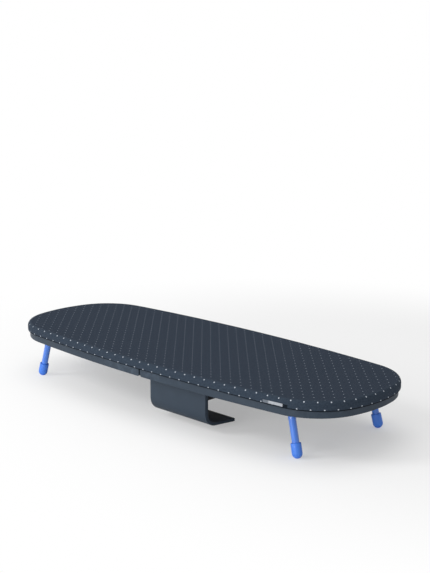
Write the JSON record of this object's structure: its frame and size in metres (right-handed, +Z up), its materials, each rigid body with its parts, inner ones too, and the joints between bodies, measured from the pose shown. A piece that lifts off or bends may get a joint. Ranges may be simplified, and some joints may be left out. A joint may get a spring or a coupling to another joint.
{
  "type": "folding table-top ironing board",
  "caption": "Folding table-top ironing board with a padded pin-dot cover, swing-out tube legs and a wide hook that hangs the folded board over a door.",
  "frame": {"origin": "on the floor under the middle of the open board", "axes": "+X along the board towards the half with the door hook, +Y across it away from the hook's outer face, +Z up"},
  "size_m": [0.8, 0.2946, 0.101],
  "materials": {
    "rim_plastic": "satin",
    "deck_plastic": "matt",
    "foam": "matt",
    "cover_fabric": "woven",
    "steel": "zinc plated",
    "label_fabric": "woven",
    "black_rubber": "matt",
    "bracket_plastic": "satin",
    "leg_paint": "powder coat",
    "cap_rubber": "matt",
    "lock_plastic": "satin"
  },
  "bodies": {
    "right_half": {"tray_right": "rim_plastic", "deck_right": "deck_plastic", "foam_right": "foam", "cover_right": "cover_fabric", "hinge_leaf_right": "steel", "hinge_pin": "steel", "hinge_screws_right": "steel", "deck_screws_right": "steel", "side_label": "label_fabric", "door_hook": "rim_plastic", "door_pad": "black_rubber", "hook_screws": "steel", "leg_bracket_right_front": "bracket_plastic", "leg_bracket_right_back": "bracket_plastic", "bracket_screws_right": "steel", "lock_guide": "bracket_plastic", "lock_screws_right": "steel"},
    "left_half": {"tray_left": "rim_plastic", "deck_left": "deck_plastic", "foam_left": "foam", "cover_left": "cover_fabric", "hinge_leaf_left": "steel", "hinge_screws_left": "steel", "deck_screws_left": "steel", "leg_bracket_left_front": "bracket_plastic", "leg_bracket_left_back": "bracket_plastic", "bracket_screws_left": "steel", "lock_keeper": "bracket_plastic", "lock_screws_left": "steel"},
    "right_legs": {"leg_frame_right": "leg_paint", "foot_cap_right_front": "cap_rubber", "foot_cap_right_back": "cap_rubber"},
    "left_legs": {"leg_frame_left": "leg_paint", "foot_cap_left_front": "cap_rubber", "foot_cap_left_back": "cap_rubber"},
    "lock": {"lock_bolt": "lock_plastic"}
  },
  "joints": [
    {"name": "fold", "type": "hinge", "parent": "right_half", "child": "left_half", "pos_m": [0, 0, 0.0985], "axis": [0, 1, 0], "range_deg": [0, 170]},
    {"name": "right_legs_fold", "type": "hinge", "parent": "right_half", "child": "right_legs", "pos_m": [0.30417, 0, 0.07615], "axis": [0, 1, 0], "range_deg": [0, 102]},
    {"name": "left_legs_fold", "type": "hinge", "parent": "left_half", "child": "left_legs", "pos_m": [-0.30417, 0, 0.07615], "axis": [0, -1, 0], "range_deg": [0, 102]},
    {"name": "lock_slide", "type": "slide", "parent": "right_half", "child": "lock", "axis": [-1, 0, 0], "range_m": [0, 0.024]}
  ]
}
